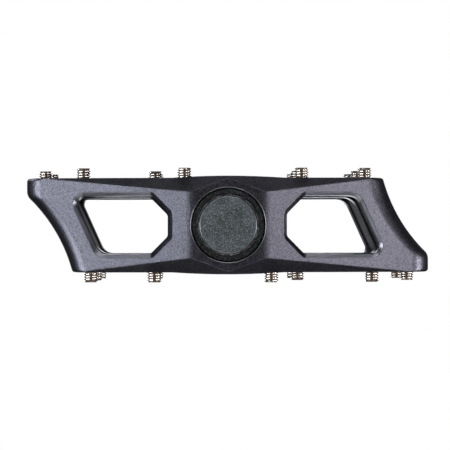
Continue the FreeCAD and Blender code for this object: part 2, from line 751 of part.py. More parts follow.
def cap_groove():
    """Where the O-ring lies on the cap's skirt: near end, far end and floor radius."""
    start = at_depth(MOUTH_DEPTH) + ORING_OFFSET
    floor = CAP_SEAT_R - 2 * ORING_CORD_R + ORING_SQUEEZE - FIT
    return start, start + 2 * ORING_CORD_R + ORING_SIDE_GAP, floor


def end_cap():
    """Dust cap: flange in the mouth, notched rim round the blank's pocket, skirt with O-ring groove."""
    face = at_depth(CAP_FACE_DEPTH)
    rim = at_depth(CAP_RIM_DEPTH)
    seat = at_depth(MOUTH_DEPTH)
    pocket = at_depth(BLANK_FACE_DEPTH + BLANK_THICKNESS)
    end = face + CAP_LENGTH
    flange_r = MOUTH_R - CAP_GAP
    skirt_r = CAP_SEAT_R - FIT
    groove_start, groove_end, groove_r = cap_groove()
    cap = turning(
        [
            (0, pocket),
            (BLANK_R + FIT, pocket),
            (BLANK_R + FIT, rim),
            (CAP_RIM_R - CAP_EDGE, rim),
            (CAP_RIM_R, rim + CAP_EDGE),
            (CAP_RIM_R, face),
            (flange_r - CAP_EDGE, face),
            (flange_r, face + CAP_EDGE),
            (flange_r, seat),
            (skirt_r, seat),
            (skirt_r, groove_start),
            (groove_r, groove_start),
            (groove_r, groove_end),
            (skirt_r, groove_end),
            (skirt_r, end - CAP_EDGE),
            (skirt_r - CAP_EDGE, end),
            (skirt_r - CAP_WALL, end),
            (skirt_r - CAP_WALL - CAP_EDGE, seat + CAP_WEB),
            (0, seat + CAP_WEB),
        ]
    )
    floor_r = CAP_RIM_R - CAP_NOTCH_DEPTH
    corner = V(-CAP_NOTCH_WIDTH / 2, face - OVERRUN, -floor_r - OVERRUN)
    for i in range(CAP_NOTCHES):
        notch = Part.makeBox(CAP_NOTCH_WIDTH, OVERRUN, OVERRUN, corner)
        notch.rotate(V(0, 0, 0), AXIS, 360 / CAP_NOTCHES * i)
        cap = cap.cut(notch)
    return cap


def cap_blank():
    """Plain disc set into the cap's face."""
    face = at_depth(BLANK_FACE_DEPTH)
    back = face + BLANK_THICKNESS
    edge = [(BLANK_R - BLANK_EDGE, face), (BLANK_R, face + BLANK_EDGE)]
    return turning([(0, face)] + edge + [(BLANK_R, back), (0, back)])


def o_ring():
    """Cap seal, drawn as it lies squeezed between groove and bore."""
    start, end, floor = cap_groove()
    cord = ORING_CORD_R - ORING_CLEARANCE
    whole = Part.makeTorus(floor + FIT + cord, cord, V(0, (start + end) / 2, 0), AXIS)
    bore = CAP_SEAT_R - ORING_CLEARANCE
    return whole.common(ring(bore, floor - OVERRUN, start - OVERRUN, end + OVERRUN))


def save(name, shape):
    """Writes one node, and stops if any solid in it isn't sound."""
    if not shape.isValid() or not shape.Solids:
        raise RuntimeError(f"{name} isn't a valid solid")
    box = shape.BoundBox
    size = f"{box.XLength:.1f} x {box.YLength:.1f} x {box.ZLength:.1f}"
    print(f"{name}: {len(shape.Solids)} solid(s), {shape.Volume:.1f} mm3, {size}")
    shape.exportStep(f"parts/{name}.step")


def main():
    """Builds and saves every node."""
    os.makedirs("parts", exist_ok=True)
    save("platform_body", platform())
    for face, side in ((1, "top"), (-1, "bottom")):
        for row in PIN_ROWS:
            screws = [pin(x, y, face) for name, x, y in pin_places(face) if name == row]
            save(f"{side}_{row}_pins", Part.makeCompound(screws))
    for number, depth in enumerate(BEARING_DEPTHS, 1):
        for piece, shape in bearing(at_depth(depth)).items():
            save(f"bearing_{number}_{piece}", shape)
    save("spindle", spindle())
    save("inner_bush", bush())
    save("inner_lip_seal", seal())
    save("nut_washer", washer())
    save("spindle_nut", nut())
    save("end_cap", end_cap())
    save("end_cap_blank", cap_blank())
    save("end_cap_o_ring", o_ring())


main()
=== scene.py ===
"""Flat pedal: finishes, threaded pieces and studio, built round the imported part.

The spindle lies along Y with the crank arm's side at +Y, and the origin is at the spindle's shoulder.
Sizes are in metres. Pieces with a thread are modelled here and stand for their plain solids; every other
solid keeps its shape and gets a finish of its own.
"""

import logging
import math
from collections.abc import Iterable
from dataclasses import dataclass, field
from enum import Enum

import bmesh
import bpy
from mathutils import Matrix, Vector


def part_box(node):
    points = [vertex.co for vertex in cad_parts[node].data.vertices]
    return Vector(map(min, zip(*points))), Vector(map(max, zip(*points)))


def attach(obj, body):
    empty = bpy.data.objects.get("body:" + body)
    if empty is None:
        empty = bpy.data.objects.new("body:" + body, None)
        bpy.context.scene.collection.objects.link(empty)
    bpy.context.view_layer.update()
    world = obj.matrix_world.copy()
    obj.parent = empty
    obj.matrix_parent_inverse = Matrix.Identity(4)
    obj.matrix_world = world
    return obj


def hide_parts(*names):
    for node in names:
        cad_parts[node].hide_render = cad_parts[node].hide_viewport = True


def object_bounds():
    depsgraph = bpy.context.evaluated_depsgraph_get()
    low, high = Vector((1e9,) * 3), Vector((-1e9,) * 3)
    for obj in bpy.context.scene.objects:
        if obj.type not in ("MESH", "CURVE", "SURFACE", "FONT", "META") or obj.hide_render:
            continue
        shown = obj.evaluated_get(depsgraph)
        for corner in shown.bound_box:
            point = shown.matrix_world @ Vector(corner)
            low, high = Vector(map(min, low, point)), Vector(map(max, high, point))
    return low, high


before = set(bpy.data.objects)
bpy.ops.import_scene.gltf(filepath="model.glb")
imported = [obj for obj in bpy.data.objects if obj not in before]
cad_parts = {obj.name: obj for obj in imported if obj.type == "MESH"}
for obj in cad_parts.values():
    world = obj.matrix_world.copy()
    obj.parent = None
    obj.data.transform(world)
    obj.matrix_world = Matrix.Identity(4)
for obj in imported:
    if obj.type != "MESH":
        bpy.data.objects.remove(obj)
CAD_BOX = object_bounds()

OUTER_FACE = CAD_BOX[0][1]  # the platform's outboard end, along Y

MM = 0.001
FULL_TURN = 2 * math.pi
LOG = logging.getLogger("pedal")

Number = float | int
Colour = tuple[float, float, float]
Span = tuple[float, float]

MIX_FIRST, MIX_SECOND, MIX_RESULT = 6, 7, 2  # the colour sockets of a Mix node
NOISE_MEAN = 0.5
BEVEL_SAMPLES = 6
SAME_PLACE = 1e-9  # closer than this, in metres, is the same place
WHITE: Colour = (1.0, 1.0, 1.0)
COOL_WHITE: Colour = (0.98, 1.0, 1.02)
WARM_WHITE: Colour = (1.0, 0.965, 0.955)


class Body(Enum):
    """The rigid bodies that pieces ride on."""

    AXLE = "axle"
    PLATFORM = "platform"


class Slot(Enum):
    """Material slots of the part's record for the threaded pieces; no piece here takes its finish from
    them.
    """

    PINS = "pin_steel"
    SPINDLE = "spindle_steel"


class Side(Enum):
    """The two treads, by the way that each one faces."""

    TOP = 1
    BOTTOM = -1


# ---- Shader expressions -------------------------------------------------------------------------------


class Wire:
    """An output socket that takes part in Python arithmetic; every operator adds its Math node."""

    def __init__(self, recipe: "Recipe", socket: bpy.types.NodeSocket) -> None:
        """Wraps one output.

        Args:
            recipe: the material that the socket belongs to.
            socket: the output socket.
        """
        self.recipe = recipe
        self.socket = socket

    def _math(self, operation: str, first: "Wire | Number", second: "Wire | Number") -> "Wire":
        """One Math node on two values.

        Args:
            operation: the node's operation.
            first: the first value.
            second: the second value.

        Returns:
            The node's result.
        """
        return self.recipe.node("ShaderNodeMath", {"operation": operation}, {0: first, 1: second})

    def __add__(self, other: "Wire | Number") -> "Wire":
        """Self plus other."""
        return self._math("ADD", self, other)

    __radd__ = __add__

    def __sub__(self, other: "Wire | Number") -> "Wire":
        """Self minus other."""
        return self._math("SUBTRACT", self, other)

    def __rsub__(self, other: "Wire | Number") -> "Wire":
        """Other minus self."""
        return self._math("SUBTRACT", other, self)

    def __mul__(self, other: "Wire | Number") -> "Wire":
        """Self times other."""
        return self._math("MULTIPLY", self, other)

    def __abs__(self) -> "Wire":
        """Self without its sign."""
        return self.recipe.node("ShaderNodeMath", {"operation": "ABSOLUTE"}, {0: self})

    def sign(self) -> "Wire":
        """1 where self is positive and -1 where it is negative."""
        return self.recipe.node("ShaderNodeMath", {"operation": "SIGN"}, {0: self})

    def swing(self, width: float) -> "Wire":
        """Self, a noise, as a swing about 0 of this whole width."""
        return (self - NOISE_MEAN) * width

    def weighed(self, share: float, other: "Wire") -> "Wire":
        """This share of self with the rest from other."""
        return self * share + other * (1 - share)


class Recipe:
    """One node tree, written as calls that add nodes and return their outputs."""

    def __init__(self, owner: bpy.types.Material | bpy.types.World) -> None:
        """Starts with an empty tree.

        Args:
            owner: the new material or world.
        """
        owner.use_nodes = True
        self.owner = owner
        self.tree = owner.node_tree
        self.tree.nodes.clear()

    @classmethod
    def material(cls, name: str) -> "Recipe":
        """A recipe for a new material of this name."""
        return cls(bpy.data.materials.new(name))

    def node(
        self,
        kind: str,
        settings: dict[str, object] | None = None,
        inputs: dict[str | int, object] | None = None,
        output: str | int | None = 0,
    ) -> Wire:
        """Adds one node.

        Args:
            kind: the node's type.
            settings: properties to set before anything is linked.
            inputs: sockets by name or number, each with a value or a Wire.
            output: the output to return, or None for a node that has none.

        Returns:
            The chosen output.
        """
        made = self.tree.nodes.new(kind)
        for key, value in (settings or {}).items():
            setattr(made, key, value)
        for key, value in (inputs or {}).items():
            if isinstance(value, Wire):
                self.tree.links.new(value.socket, made.inputs[key])
            else:
                made.inputs[key].default_value = value
        return Wire(self, made.outputs[output] if output is not None else None)

    def place(self) -> Wire:
        """Object coordinates, which are metres in the part's own frame."""
        return self.node("ShaderNodeTexCoord", output="Object")

    def axis(self, vector: Wire, name: str) -> Wire:
        """One component of a vector."""
        return self.node("ShaderNodeSeparateXYZ", inputs={"Vector": vector}, output=name)

    def radius(self) -> Wire:
        """Distance from the spindle axis.

        Returns:
            The distance, in metres.
        """
        both = {0: self.place(), 1: (1, 0, 1)}
        across = self.node("ShaderNodeVectorMath", {"operation": "MULTIPLY"}, both)
        return self.node("ShaderNodeVectorMath", {"operation": "LENGTH"}, {0: across}, output="Value")

    def along(self) -> Wire:
        """Position along the spindle axis, in metres."""
        return self.axis(self.place(), "Y")

    def outboard(self) -> Wire:
        """How squarely a face looks outboard: 1 square on, 0 for a wall along the spindle."""
        return self.axis(self.node("ShaderNodeNewGeometry", output="True Normal"), "Y") * -1

    def offsets(self) -> tuple[Wire, Wire]:
        """Where a point of the right half is; the left half is turned onto it, as the two are alike.

        Returns:
            How far out from the spindle axis it is and how far up, in metres.
        """
        out = self.axis(self.place(), "X")
        half = out.sign()
        return out * half, self.axis(self.place(), "Z") * half

    def noise(
        self,
        size: float,
        detail: float = 3.0,
        roughness: float = 0.55,
        stretch: Colour = (1, 1, 1),
    ) -> Wire:
        """Noise whose features have this size.

        Args:
            size: feature size in metres.
            detail: number of finer layers.
            roughness: weight of the finer layers.
            stretch: scale along each axis before the noise is read.

        Returns:
            The noise, about 0.5 on average.
        """
        at = self.node("ShaderNodeMapping", inputs={"Vector": self.place(), "Scale": stretch})
        values = {"Vector": at, "Scale": 1 / size, "Detail": detail, "Roughness": roughness}
        return self.node("ShaderNodeTexNoise", inputs=values)

    def ease(self, value: Wire, low: float, high: float, to_low: float = 0.0, to_high: float = 1.0) -> Wire:
        """A smooth step of value from low to high.

        Args:
            value: what is read.
            low: where the step starts.
            high: where it ends.
            to_low: the result below low.
            to_high: the result above high.

        Returns:
            The stepped value.
        """
        values = {"Value": value, "From Min": low, "From Max": high, "To Min": to_low, "To Max": to_high}
        return self.node("ShaderNodeMapRange", {"interpolation_type": "SMOOTHSTEP"}, values)

    def between(self, value: Wire, span: Span, soft: float) -> Wire:
        """1 where a value lies in a span, fading to 0 outside it.

        Args:
            value: what is read.
            span: the lower and upper end.
            soft: how far beyond each end the fade reaches.

        Returns:
            The share, from 0 to 1.
        """
        low, high = span
        return self.ease(value, low - soft, low) * self.ease(value, high, high + soft, 1, 0)

    def blend(self, share: Wire, first: "Wire | Colour", second: "Wire | Colour") -> Wire:
        """A colour between two colours.

        Args:
            share: 0 for the first, 1 for the second.
            first: the first colour.
            second: the second colour.

        Returns:
            The mixed colour.
        """
        inputs: dict[str | int, object] = {"Factor": share}
        for socket, colour in ((MIX_FIRST, first), (MIX_SECOND, second)):
            inputs[socket] = colour if isinstance(colour, Wire) else (*colour, 1.0)
        return self.node("ShaderNodeMix", {"data_type": "RGBA"}, inputs, output=MIX_RESULT)

    def rounded(self, radius: float) -> Wire:
        """The normal with every sharp edge eased over this radius.

        Args:
            radius: the edge's radius in metres.

        Returns:
            The eased normal.
        """
        return self.node("ShaderNodeBevel", {"samples": BEVEL_SAMPLES}, {"Radius": radius})

    def bump(self, height: Wire, depth: float, normal: Wire | None = None) -> Wire:
        """A normal that follows a height.

        Args:
            height: the relief, from 0 to 1.
            depth: how deep 1 is, in metres.
            normal: the normal that it starts from.

        Returns:
            The bumped normal.
        """
        inputs: dict[str | int, object] = {"Height": height, "Distance": depth, "Strength": 1.0}
        if normal is not None:
            inputs["Normal"] = normal
        return self.node("ShaderNodeBump", inputs=inputs)

    def finish(self, **inputs: object) -> bpy.types.Material:
        """Ends the material in one Principled shader.

        Args:
            **inputs: the shader's sockets, with _ for a space.

        Returns:
            The material.
        """
        named = {key.replace("_", " "): value for key, value in inputs.items()}
        shader = self.node("ShaderNodeBsdfPrincipled", inputs=named)
        self.node("ShaderNodeOutputMaterial", inputs={"Surface": shader}, output=None)
        return self.owner


# ---- Finishes -----------------------------------------------------------------------------------------


@dataclass(frozen=True)
class BlastedAnodise:
    """Aluminium, bead-blasted and anodised black: a fine even grain with a cold violet sheen."""

    name: str = "blasted_black_anodise"
    deep: Colour = (0.036, 0.036, 0.045)
    pale: Colour = (0.134, 0.1345, 0.165)
    # painted highlight: a pale broken ring on the edge of the bore's mouth, at the outer face
    mouth_highlight: Colour = (0.42, 0.42, 0.44)
    mouth_highlight_ring: Span = (10.38 * MM, 10.52 * MM)
    mouth_highlight_soft: float = 0.02 * MM
    mouth_highlight_depth: float = 0.3 * MM
    mouth_highlight_gaps: Span = (0.3, 0.5)
    mouth_highlight_least: float = 0.35
    # painted highlight: the outer windows' chamfered rims are coloured paler
    rim: Colour = (0.33, 0.335, 0.385)
    rim_slope: Span = (0.45, 0.88)
    rim_slope_soft: float = 0.02
    rim_start: float = 21.6 * MM
    rim_end: float = 41.1 * MM
    rim_lean: float = 0.447
    rim_height: float = 9.2 * MM
    rim_soft: float = 0.1 * MM
    rim_depth: Span = (8.0 * MM, 9.0 * MM)
    grain: float = 0.42 * MM
    grain_share: float = 0.65
    fine_grain: float = 0.16 * MM
    speckle_share: float = 0.7
    contrast: Span = (0.36, 0.64)
    relief: float = 0.022 * MM
    relief_share: float = 0.6
    patch: float = 14 * MM
    roughness: float = 0.35
    patch_roughness: float = 0.10
    grain_roughness: float = 0.12
    edge: float = 0.35 * MM

    def mix(self) -> bpy.types.Material:
        """Makes the material.

        Returns:
            The new material.
        """
        recipe = Recipe.material(self.name)
        grain = recipe.noise(self.grain, detail=2.0)
        fine = recipe.noise(self.fine_grain, detail=1.0)
        patches = recipe.noise(self.patch)
        speckle = recipe.ease(grain.weighed(self.grain_share, fine), *self.contrast)
        black = recipe.blend(speckle.weighed(self.speckle_share, patches), self.deep, self.pale)
        # painted highlight on the edge of the bore's mouth at the outer face, broken up by the patches
        on_ring = recipe.between(recipe.radius(), self.mouth_highlight_ring, self.mouth_highlight_soft)
        at_face = recipe.ease(recipe.along(), OUTER_FACE, OUTER_FACE + self.mouth_highlight_depth, 1, 0)
        painted_highlight = on_ring * at_face * recipe.ease(patches, *self.mouth_highlight_gaps, self.mouth_highlight_least, 1.0)
        # painted highlight on the outer windows' chamfered rims
        with_rim_highlight = recipe.blend(self.painted_rim_highlight(recipe), black, self.rim)
        colour = recipe.blend(painted_highlight, with_rim_highlight, self.mouth_highlight)
        rough = self.roughness + patches.swing(self.patch_roughness) + grain.swing(self.grain_roughness)
        height = grain.weighed(self.relief_share, fine)
        normal = recipe.bump(height, self.relief, recipe.rounded(self.edge))
        return recipe.finish(Base_Color=colour, Metallic=1.0, Roughness=rough, Normal=normal)

    def painted_rim_highlight(self, recipe: Recipe) -> Wire:
        """Where the outer windows' chamfered rims are, which get a painted highlight: a paler colour.

        Args:
            recipe: the material being made.

        Returns:
            1 on the rims and 0 elsewhere.
        """
        out, up = recipe.offsets()
        chamfer = recipe.between(recipe.outboard(), self.rim_slope, self.rim_slope_soft)
        clear_of_axle = recipe.ease(out, self.rim_start - self.rim_soft, self.rim_start)
        leaning = out + up * self.rim_lean
        clear_of_end = recipe.ease(leaning, self.rim_end, self.rim_end + self.rim_soft, 1, 0)
        level = recipe.between(up, (-self.rim_height, self.rim_height), self.rim_soft)
        near, far = self.rim_depth
        in_outer_plate = recipe.ease(recipe.along(), OUTER_FACE + near, OUTER_FACE + far, 1, 0)
        return chamfer * clear_of_axle * clear_of_end * level * in_outer_plate


@dataclass(frozen=True)
class BlackCap:
    """The cap's own black anodising, speckled with painted glints, with a thin painted highlight, broken,
    where its lip turns in.
    """

    name: str = "cap_black_anodise"
    deep: Colour = (0.016, 0.017, 0.018)
    pale: Colour = (0.070, 0.073, 0.076)
    # painted glints: bright specks where the grain is highest
    speck_and_glint: Colour = (0.24, 0.25, 0.25)
    # painted highlight: a thin broken pale line where the cap's lip turns in
    lip: Colour = (0.36, 0.37, 0.38)
    lip_radius: float = 8.3 * MM
    lip_half: float = 0.13 * MM
    highlight_breaks: float = 0.9 * MM
    highlight_break_span: Span = (0.40, 0.56)
    contrast: Span = (0.35, 0.65)
    speck_and_glint_span: Span = (0.62, 0.70)
    grain: float = 0.28 * MM
    relief: float = 0.012 * MM
    metal: float = 0.8
    roughness: float = 0.36
    grain_roughness: float = 0.2
    edge: float = 0.12 * MM

    def mix(self) -> bpy.types.Material:
        """Makes the material.

        Returns:
            The new material.
        """
        recipe = Recipe.material(self.name)
        grain = recipe.noise(self.grain)
        # painted highlight along the lip, broken up by noise
        line = recipe.between(recipe.radius(), (self.lip_radius, self.lip_radius), self.lip_half)
        painted_highlight = line * recipe.ease(recipe.noise(self.highlight_breaks), *self.highlight_break_span)
        plain = recipe.blend(recipe.ease(grain, *self.contrast), self.deep, self.pale)
        # painted glints as bright specks
        specked = recipe.blend(recipe.ease(grain, *self.speck_and_glint_span), plain, self.speck_and_glint)
        colour = recipe.blend(painted_highlight, specked, self.lip)
        rough = self.roughness + grain.swing(self.grain_roughness)
        normal = recipe.bump(grain, self.relief, recipe.rounded(self.edge))
        return recipe.finish(Base_Color=colour, Metallic=self.metal, Roughness=rough, Normal=normal)


@dataclass(frozen=True)
class GreyBlank:
    """The plain disc in the cap: matt green-grey metal, mottled and specked, with a painted highlight on
    its turned rim.
    """

    name: str = "grey_blank"
    deep: Colour = (0.023, 0.034, 0.032)
    pale: Colour = (0.082, 0.098, 0.097)
    blue: Colour = (0.104, 0.116, 0.138)
    blue_radius: Span = (1.5 * MM, 6.5 * MM)
    contrast: Span = (0.36, 0.64)
    speck_and_glint: Colour = (0.26, 0.29, 0.29)
    speck_and_glint_span: Span = (0.60, 0.68)
    # painted highlight: the disc's turned rim is coloured bright
    rim: Colour = (0.55, 0.57, 0.57)
    rim_radius: Span = (7.74 * MM, 7.78 * MM)
    mottle: float = 2.6 * MM
    mottle_share: float = 0.35
    grain: float = 0.22 * MM
    relief: float = 0.03 * MM
    relief_share: float = 0.7
    metal: float = 0.55
    rim_metal: float = 1.0
    roughness: float = 0.62
    rim_roughness: float = 0.30
    mottle_roughness: float = 0.2

    def mix(self) -> bpy.types.Material:
        """Makes the material.

        Returns:
            The new material.
        """
        recipe = Recipe.material(self.name)
        mottle = recipe.noise(self.mottle, detail=4.0, roughness=0.65)
        grain = recipe.noise(self.grain, detail=2.0)
        light = recipe.blend(recipe.ease(recipe.radius(), *self.blue_radius), self.pale, self.blue)
        cloud = recipe.ease(mottle.weighed(self.mottle_share, grain), *self.contrast)
        clouded = recipe.blend(cloud, self.deep, light)
        specked = recipe.blend(recipe.ease(grain, *self.speck_and_glint_span), clouded, self.speck_and_glint)
        # painted highlight on the disc's rim, which also gets more metal and less roughness
        painted_rim_highlight = recipe.ease(recipe.radius(), *self.rim_radius)
        colour = recipe.blend(painted_rim_highlight, specked, self.rim)
        metal = self.metal + painted_rim_highlight * (self.rim_metal - self.metal)
        smoother = painted_rim_highlight * (self.roughness - self.rim_roughness)
        rough = self.roughness - smoother + mottle.swing(self.mottle_roughness)
        normal = recipe.bump(grain.weighed(self.relief_share, mottle), self.relief)
        return recipe.finish(Base_Color=colour, Metallic=metal, Roughness=rough, Normal=normal)


@dataclass(frozen=True)
class ThreadSteel:
    """Bright rolled thread, with painted shade, brown-dark, down in the groove."""

    name: str = "bright_thread_steel"
    crest: Colour = (0.58, 0.55, 0.52)
    # painted shade: the colour down in the thread's root
    groove: Colour = (0.20, 0.15, 0.115)
    smear: float = 0.7 * MM
    grain: float = 0.12 * MM
    relief: float = 0.008 * MM
    root_shade_span: Span = (0.25, 0.95)
    root_shade_smear: float = 0.5
    roughness: float = 0.24
    root_roughness: float = 0.22
    grain_roughness: float = 0.12

    def mix(self) -> bpy.types.Material:
        """Makes the material, which reads the mesh's groove attribute, 1 at the thread's root.

        Returns:
            The new material.
        """
        recipe = Recipe.material(self.name)
        groove = recipe.node("ShaderNodeAttribute", {"attribute_name": "groove"}, output="Fac")
        smear = recipe.noise(self.smear)
        grain = recipe.noise(self.grain, detail=2.0)
        # painted shade in the thread's root, broken up by a smear of noise
        root_shade = recipe.ease(groove + smear.swing(self.root_shade_smear), *self.root_shade_span)
        colour = recipe.blend(root_shade, self.crest, self.groove)
        rough = self.roughness + root_shade * self.root_roughness + grain.swing(self.grain_roughness)
        normal = recipe.bump(grain, self.relief)
        return recipe.finish(Base_Color=colour, Metallic=1.0, Roughness=rough, Normal=normal)


@dataclass(frozen=True)
class TurnedSteel:
    """Ground or turned steel: fine rings round the spindle axis, a few smears."""

    name: str
    base: Colour = (0.50, 0.50, 0.51)
    shade: Colour = (0.30, 0.30, 0.31)
    ring: float = 0.11 * MM
    ring_stretch: Colour = (0.02, 1.0, 0.02)
    ring_relief: float = 0.006 * MM
    smear: float = 5 * MM
    smear_share: float = 0.7
    contrast: Span = (0.35, 0.7)
    roughness: float = 0.28
    smear_roughness: float = 0.25
    ring_roughness: float = 0.1

    def mix(self) -> bpy.types.Material:
        """Makes the material.

        Returns:
            The new material.
        """
        recipe = Recipe.material(self.name)
        rings = recipe.noise(self.ring, detail=2.0, stretch=self.ring_stretch)
        smear = recipe.noise(self.smear, detail=4.0, roughness=0.6)
        dull = recipe.ease(smear.weighed(self.smear_share, rings), *self.contrast)
        colour = recipe.blend(dull, self.base, self.shade)
        rough = self.roughness + smear.swing(self.smear_roughness) + rings.swing(self.ring_roughness)
        normal = recipe.bump(rings, self.ring_relief)
        return recipe.finish(Base_Color=colour, Metallic=1.0, Roughness=rough, Normal=normal)


@dataclass(frozen=True)
class Moulded:
    """Moulded rubber or polymer with a faint skin texture."""

    name: str
    base: Colour
    pale: Colour
    roughness: float = 0.6
    grain: float = 0.25 * MM
    relief: float = 0.01 * MM
    cloud: float = 3 * MM
    cloud_share: float = 0.6
    contrast: Span = (0.35, 0.68)
    grain_roughness: float = 0.2

    def mix(self) -> bpy.types.Material:
        """Makes the material.

        Returns:
            The new material.
        """
        recipe = Recipe.material(self.name)
        cloud = recipe.noise(self.cloud, detail=4.0)
        grain = recipe.noise(self.grain, detail=2.0)
        faded = recipe.ease(cloud.weighed(self.cloud_share, grain), *self.contrast)
        colour = recipe.blend(faded, self.base, self.pale)
        rough = self.roughness + grain.swing(self.grain_roughness)
        normal = recipe.bump(grain, self.relief)
        return recipe.finish(Base_Color=colour, Metallic=0.0, Roughness=rough, Normal=normal)


@dataclass(frozen=True)
class StudioPaper:
    """The floor's plain pale paper."""

    name: str = "studio_paper"
    base: Colour = (0.86, 0.86, 0.87)
    pale: Colour = (0.90, 0.90, 0.90)
    cloud: float = 0.4
    roughness: float = 0.9

    def mix(self) -> bpy.types.Material:
        """Makes the material.

        Returns:
            The new material.
        """
        recipe = Recipe.material(self.name)
        colour = recipe.blend(recipe.noise(self.cloud), self.base, self.pale)
        return recipe.finish(Base_Color=colour, Metallic=0.0, Roughness=self.roughness)


# ---- Shared mesh work ---------------------------------------------------------------------------------


def dress(node: str, finish: bpy.types.Material) -> None:
    """Gives a solid of the part its finish.

    Args:
        node: the solid's name.
        finish: the material.
    """
    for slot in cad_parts[node].material_slots:
        slot.material = finish
    LOG.info("dressed %s with %s", node, finish.name)


def verts_of(geometry: Iterable[object]) -> list[bmesh.types.BMVert]:
    """The vertices among some geometry."""
    return [item for item in geometry if isinstance(item, bmesh.types.BMVert)]


def edges_of(geometry: Iterable[object]) -> list[bmesh.types.BMEdge]:
    """The edges among some geometry."""
    return [item for item in geometry if isinstance(item, bmesh.types.BMEdge)]


def open_edges(mesh: bmesh.types.BMesh, height: float, slack: float = 1e-6) -> list[bmesh.types.BMEdge]:
    """The mesh's open edges that lie in one plane across Z.

    Args:
        mesh: the mesh.
        height: the plane's z.
        slack: how far off the plane an edge may be.

    Returns:
        The edges.
    """
    return [e for e in mesh.edges if e.is_boundary and all(abs(v.co.z - height) < slack for v in e.verts)]


def settle(
    mesh: bmesh.types.BMesh,
    name: str,
    finish: bpy.types.Material,
    smooth_degrees: float,
) -> bpy.types.Object:
    """Turns a finished bmesh into an object at the origin, shaded smooth but for its sharp edges.

    Args:
        mesh: the bmesh, which is freed.
        name: the piece's name.
        finish: its material.
        smooth_degrees: edges that turn more than this stay sharp.

    Returns:
        The object.
    """
    bmesh.ops.recalc_face_normals(mesh, faces=mesh.faces)
    limit = math.radians(smooth_degrees)
    for face in mesh.faces:
        face.smooth = True
    for edge in mesh.edges:
        edge.smooth = len(edge.link_faces) == 2 and edge.calc_face_angle() < limit
    data = bpy.data.meshes.new(name)
    mesh.to_mesh(data)
    mesh.free()
    data.materials.append(finish)
    made = bpy.data.objects.new(name, data)
    bpy.context.scene.collection.objects.link(made)
    return made


@dataclass
class ScrewThread:
    """A rod along Z, from 0 up to its tip, with a helical thread and a hex socket in the tip."""

    radius: float
    depth: float
    pitch: float
    length: float
    tip_chamfer: float
    foot_chamfer: float
    socket_width: float
    socket_depth: float
    steps: int = 32
    crest_share: float = 0.22
    root_share: float = 0.16
    socket_cuts: int = 5
    spare_below: int = 2
    spare_above: int = 1
    merge_share: float = 1e-3

    def chain(self, mesh: bmesh.types.BMesh) -> tuple[list[bmesh.types.BMVert], list[bmesh.types.BMEdge]]:
        """The thread's profile, a chain of crests and roots with spare pitches beyond both ends.

        Args:
            mesh: the bmesh to draw in.

        Returns:
            The chain's vertices and edges.
        """
        flank = (1 - self.crest_share - self.root_share) / 2
        outline = [
            (self.radius, 0.0),
            (self.radius, self.crest_share),
            (self.radius - self.depth, self.crest_share + flank),
            (self.radius - self.depth, self.crest_share + flank + self.root_share),
        ]
        turns = self.spare_below + math.ceil(self.length / self.pitch) + self.spare_above
        points = [(r, (k + at - self.spare_below) * self.pitch) for k in range(turns) for r, at in outline]
        verts = [mesh.verts.new((r, 0, z)) for r, z in points]
        edges = [mesh.edges.new(pair) for pair in zip(verts, verts[1:])]
        return verts, edges

    def taper(self, mesh: bmesh.types.BMesh) -> None:
        """Draws the thread in towards its root over both end chamfers.

        Args:
            mesh: the threaded rod.
        """
        ends = ((0.0, 1, self.foot_chamfer), (self.length, -1, self.tip_chamfer))
        for end, inwards, chamfer in ends:
            for vert in mesh.verts:
                left = chamfer - (vert.co.z - end) * inwards
                limit = self.radius - max(0.0, left)
                reach = math.hypot(vert.co.x, vert.co.y)
                if left > 0 and reach > limit:
                    vert.co.x *= limit / reach
                    vert.co.y *= limit / reach

    def socket(self, mesh: bmesh.types.BMesh) -> None:
        """Closes the tip round a hex socket and gives the socket its walls and floor.

        Args:
            mesh: the rod, open at the tip.
        """
        rim = open_edges(mesh, self.length)
        corner = self.socket_width / math.sqrt(3)
        at_tip = Matrix.Translation((0, 0, self.length))
        ring = bmesh.ops.create_circle(mesh, cap_ends=False, segments=6, radius=corner, matrix=at_tip)
        mouth = list({edge for vert in ring["verts"] for edge in vert.link_edges})
        cut = bmesh.ops.subdivide_edges(mesh, edges=mouth, cuts=self.socket_cuts)
        mouth = list({e for e in edges_of(cut["geom"]) if e.is_wire} | {e for e in mouth if e.is_valid})
        bmesh.ops.bridge_loops(mesh, edges=rim + mouth)
        walls = bmesh.ops.extrude_edge_only(mesh, edges=mouth)
        low = verts_of(walls["geom"])
        bmesh.ops.translate(mesh, verts=low, vec=(0, 0, -self.socket_depth))
        floor = [e for e in edges_of(walls["geom"]) if e.is_boundary]
        bmesh.ops.contextual_create(mesh, geom=floor)

    def build(self) -> bmesh.types.BMesh:
        """The closed rod.

        Returns:
            A new bmesh, with a groove layer that is 1 at the thread's root.
        """
        mesh = bmesh.new()
        verts, edges = self.chain(mesh)
        merge = self.pitch * self.merge_share
        rise = (0, 0, self.pitch / self.steps)
        bmesh.ops.spin(
            mesh,
            geom=verts + edges,
            cent=(0, 0, 0),
            axis=(0, 0, 1),
            dvec=rise,
            angle=FULL_TURN,
            steps=self.steps,
            use_merge=False,
        )
        bmesh.ops.remove_doubles(mesh, verts=mesh.verts, dist=merge)
        for height, normal in ((0.0, (0, 0, -1)), (self.length, (0, 0, 1))):
            bmesh.ops.bisect_plane(
                mesh,
                geom=mesh.verts[:] + mesh.edges[:] + mesh.faces[:],
                dist=merge,
                plane_co=(0, 0, height),
                plane_no=normal,
                clear_outer=True,
            )
        groove = mesh.verts.layers.float.new("groove")
        for vert in mesh.verts:
            inwards = (self.radius - math.hypot(vert.co.x, vert.co.y)) / self.depth
            vert[groove] = min(1.0, max(0.0, inwards))
        self.taper(mesh)
        bmesh.ops.contextual_create(mesh, geom=open_edges(mesh, 0.0))
        self.socket(mesh)
        return mesh


